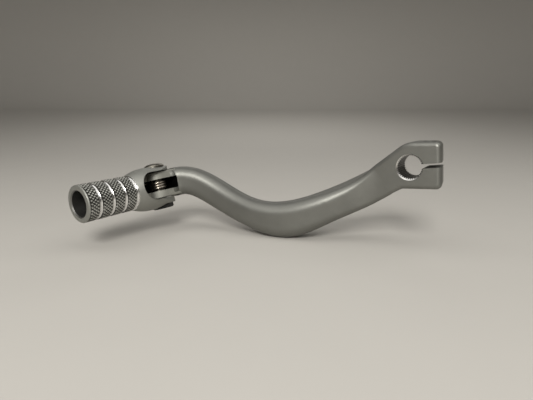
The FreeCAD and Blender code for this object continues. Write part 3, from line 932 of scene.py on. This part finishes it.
@dataclass
class ReturnSpring:
    """The torsion spring round the bolt, with one leg in the tongue and one in the fork."""

    wire_radius: float = 0.65 * MM
    coil_radius: float = 4.0 * MM
    turns: float = 3.0
    half_rise: float = 2.13 * MM
    fixed_reach: float = 10.8 * MM
    moving_reach: float = 18.9 * MM
    steps_a_turn: int = 48
    leg_steps: int = 8
    sides: int = 20
    sharp_degrees: float = 40.0

    def path(self) -> list[Vector]:
        """Follows the wire from the fixed leg through the coil to the moving leg.

        Returns:
            Points in the hinge's frame.
        """
        points = []
        for i in range(self.leg_steps):
            along = self.fixed_reach * (1 - i / self.leg_steps)
            points.append(Vector((-self.coil_radius, along, -self.half_rise)))
        count = round(self.turns * self.steps_a_turn)
        for i in range(count + 1):
            angle = math.pi + math.tau * self.turns * i / count
            level = self.half_rise * (2 * i / count - 1)
            points.append(Vector((
                self.coil_radius * math.cos(angle), self.coil_radius * math.sin(angle), level
            )))
        for i in range(1, self.leg_steps + 1):
            along = -self.moving_reach * i / self.leg_steps
            points.append(Vector((-self.coil_radius, along, self.half_rise)))
        return points

    def build(self) -> bpy.types.Object:
        """Winds the spring, with its lower leg on the arm and its upper leg on the toe piece.

        Returns:
            The finished piece.
        """
        points = [HINGE.point(*p) for p in self.path()]
        mesh = bpy.data.meshes.new("torsion_spring")
        mesh.from_pydata(points, [(i, i + 1) for i in range(len(points) - 1)], [])
        piece = new_piece("torsion_spring", mesh)
        finish = WIRE_FINISH.material()
        run_tree(piece, wire_tree(), {
            "Wire Radius": self.wire_radius, "Sides": self.sides, "Finish": finish
        })
        piece.data.shade_smooth()
        piece.data.set_sharp_from_angle(angle=math.radians(self.sharp_degrees))
        level = self.half_rise - self.wire_radius
        HINGE.point(0.0, 0.0, -level)
        HINGE.point(0.0, 0.0, level)
        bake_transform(piece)
        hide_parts("return_spring")
        LOG.info("%s: %d faces between arm and toe piece", piece.name, len(piece.data.polygons))
        return piece


@dataclass(frozen=True)
class SoftLamp:
    """A square lamp: its place and aim as right of the camera, in front of it and above the origin."""

    name: str
    place: tuple[float, float, float]
    aim: tuple[float, float, float]
    size: float
    power: float


@dataclass
class Studio:
    """The sweep of pale paper, the soft light and the camera."""

    paper_colour: Colour = (0.475, 0.456, 0.423)
    paper_roughness: float = 0.75
    mottle_scale: float = 40.0
    mottle_detail: float = 4.0
    mottle_share: float = 0.015
    middle: tuple[float, float] = (0.0, 0.22)
    sweep_sides: int = 96
    rise_start: float = 0.55
    bend_start: float = 1.6
    bend_height: float = 0.085
    bend_radius: float = 0.3
    wall_top: float = 2.4
    bend_steps: int = 24
    camera_place: tuple[float, float, float] = (0.04248, -0.20359, 0.02422)
    camera_yaw: float = 32.0
    camera_pitch: float = 12.0
    lens: float = 27.0
    sensor: float = 36.0
    near_clip: float = 0.005
    far_clip: float = 20.0
    lamp_colour: Colour = (1.0, 0.985, 0.95)
    room_colour: Colour = (0.9, 0.88, 0.85)
    room_light: float = 0.075
    lamps: tuple[SoftLamp, ...] = (
        SoftLamp("front_key", (-0.06, -0.46, 0.46), (0.0, 0.4, -0.04), 0.3, 6.6),
        SoftLamp("top_left", (-0.4, 0.05, 0.95), (-0.02, 0.2, -0.03), 1.0, 3.4),
        SoftLamp("top_right", (0.5, 0.1, 0.85), (0.0, 0.2, -0.02), 0.9, 3.2),
        SoftLamp("background", (0.0, 1.2, 0.55), (0.0, 1.3, 0.0), 0.8, 2.1),
    )

    def build(self, floor_level: float) -> None:
        """Sets the stage under the object.

        Args:
            floor_level: The height of the object's lowest point.
        """
        self.add_sweep(floor_level)
        self.add_lights()
        self.add_camera()

    def paper_finish(self) -> bpy.types.Material:
        """Makes the paper's material.

        Returns:
            A matt material with a faint mottle.
        """
        made = bpy.data.materials.new("sweep_paper")
        made.use_nodes = True
        tree = TreeMaker(made.node_tree)
        place = tree.add("ShaderNodeTexCoord").outputs["Object"]
        mottle = tree.add(
            "ShaderNodeTexNoise",
            {"Vector": place, "Scale": self.mottle_scale, "Detail": self.mottle_detail},
        ).outputs["Fac"]
        ramp = tree.add("ShaderNodeValToRGB", {"Fac": mottle})
        for element, sign in zip(ramp.color_ramp.elements, (-1, 1)):
            element.color = rgba(tuple((1 + sign * self.mottle_share) * part for part in self.paper_colour))
        shader = tree.add(
            "ShaderNodeBsdfPrincipled",
            {"Base Color": ramp.outputs["Color"], "Roughness": self.paper_roughness},
        ).outputs["BSDF"]
        tree.add("ShaderNodeOutputMaterial", {"Surface": shader})
        return made

    def sweep_line(self) -> list[tuple[float, float]]:
        """Follows the paper outwards: flat, then gently up, then curved to a wall.

        Returns:
            Distance from the middle and height above the floor.
        """
        line = []
        for i in range(self.bend_steps + 1):
            share = i / self.bend_steps
            reach = self.rise_start + (self.bend_start - self.rise_start) * share
            line.append((reach, self.bend_height * share ** 2))
        slope = math.atan2(2 * self.bend_height, self.bend_start - self.rise_start)
        for i in range(1, self.bend_steps + 1):
            angle = slope + (math.pi / 2 - slope) * i / self.bend_steps
            line.append((
                self.bend_start + self.bend_radius * (math.sin(angle) - math.sin(slope)),
                self.bend_height + self.bend_radius * (math.cos(slope) - math.cos(angle)),
            ))
        line.append((line[-1][0], self.wall_top))
        return line

    def add_sweep(self, level: float) -> None:
        """Lays the paper all round the object, so that each side of it has the same backdrop.

        Args:
            level: The floor's height.
        """
        middle = self.spot(*self.middle, level)
        work = bmesh.new()
        hub = work.verts.new(middle)
        inner: list[bmesh.types.BMVert] = []
        for reach, height in self.sweep_line():
            ring = []
            for i in range(self.sweep_sides):
                angle = math.tau * i / self.sweep_sides
                ring.append(work.verts.new(
                    middle + Vector((reach * math.cos(angle), reach * math.sin(angle), height))
                ))
            for i in range(self.sweep_sides):
                j = (i + 1) % self.sweep_sides
                corners = (inner[i], ring[i], ring[j], inner[j]) if inner else (hub, ring[i], ring[j])
                work.faces.new(corners)
            inner = ring
        mesh = bpy.data.meshes.new("paper_sweep")
        work.to_mesh(mesh)
        work.free()
        mesh.materials.append(self.paper_finish())
        mesh.shade_smooth()
        new_piece("paper_sweep", mesh)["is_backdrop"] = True

    def spot(self, right: float, depth: float, height: float) -> Vector:
        """A place as the camera sees the floor.

        Args:
            right: How far to the camera's right.
            depth: How far in front of the camera, along the floor.
            height: How high above the model's origin.

        Returns:
            The place in the model's frame.
        """
        yaw = math.radians(self.camera_yaw)
        across = Vector((math.cos(yaw), math.sin(yaw), 0.0))
        along = Vector((-math.sin(yaw), math.cos(yaw), 0.0))
        foot = Vector((self.camera_place[0], self.camera_place[1], 0.0))
        return foot + across * right + along * depth + Vector((0.0, 0.0, height))

    def add_lamp(self, lamp: SoftLamp) -> None:
        """Hangs one soft lamp.

        Args:
            lamp: Where it hangs, what it points at, and its size and power.
        """
        light = bpy.data.lights.new(lamp.name, "AREA")
        light.shape = "SQUARE"
        light.size = lamp.size
        light.energy = lamp.power
        light.color = self.lamp_colour
        holder = bpy.data.objects.new(lamp.name, light)
        holder.location = self.spot(*lamp.place)
        holder.rotation_mode = "QUATERNION"
        holder.rotation_quaternion = (self.spot(*lamp.aim) - holder.location).to_track_quat("-Z", "Y")
        bpy.context.scene.collection.objects.link(holder)

    def add_lights(self) -> None:
        """Hangs the soft lamps, and gives the room a dim even light."""
        for lamp in self.lamps:
            self.add_lamp(lamp)
        world = bpy.data.worlds.new("dim_room")
        world.use_nodes = True
        tree = TreeMaker(world.node_tree)
        shader = tree.add(
            "ShaderNodeBackground", {"Color": rgba(self.room_colour), "Strength": self.room_light}
        )
        tree.add("ShaderNodeOutputWorld", {"Surface": shader.outputs[0]})
        bpy.context.scene.world = world

    def add_camera(self) -> None:
        """Puts the camera where the photograph was taken."""
        lens = bpy.data.cameras.new("photo_camera")
        lens.lens = self.lens
        lens.sensor_width = self.sensor
        lens.clip_start = self.near_clip
        lens.clip_end = self.far_clip
        camera = bpy.data.objects.new("photo_camera", lens)
        yaw, pitch = math.radians(self.camera_yaw), math.radians(self.camera_pitch)
        forward = Vector((
            -math.sin(yaw) * math.cos(pitch), math.cos(yaw) * math.cos(pitch), -math.sin(pitch)
        ))
        camera.location = self.camera_place
        camera.rotation_mode = "QUATERNION"
        camera.rotation_quaternion = forward.to_track_quat("-Z", "Y")
        bpy.context.scene.collection.objects.link(camera)
        bpy.context.scene.camera = camera


def main() -> None:
    """Builds every piece, then the studio under the imported solids' lowest point."""
    logging.basicConfig(level=logging.INFO, format="%(name)s %(message)s")
    cad_low, cad_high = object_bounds()
    for part in (LeverArm(), ToePiece(), PivotBolt(), PivotNut(), ReturnSpring()):
        part.build()
    Studio().build(cad_low.z)
    bpy.context.scene.view_settings.view_transform = "Standard"


if __name__ == "__main__":
    main()
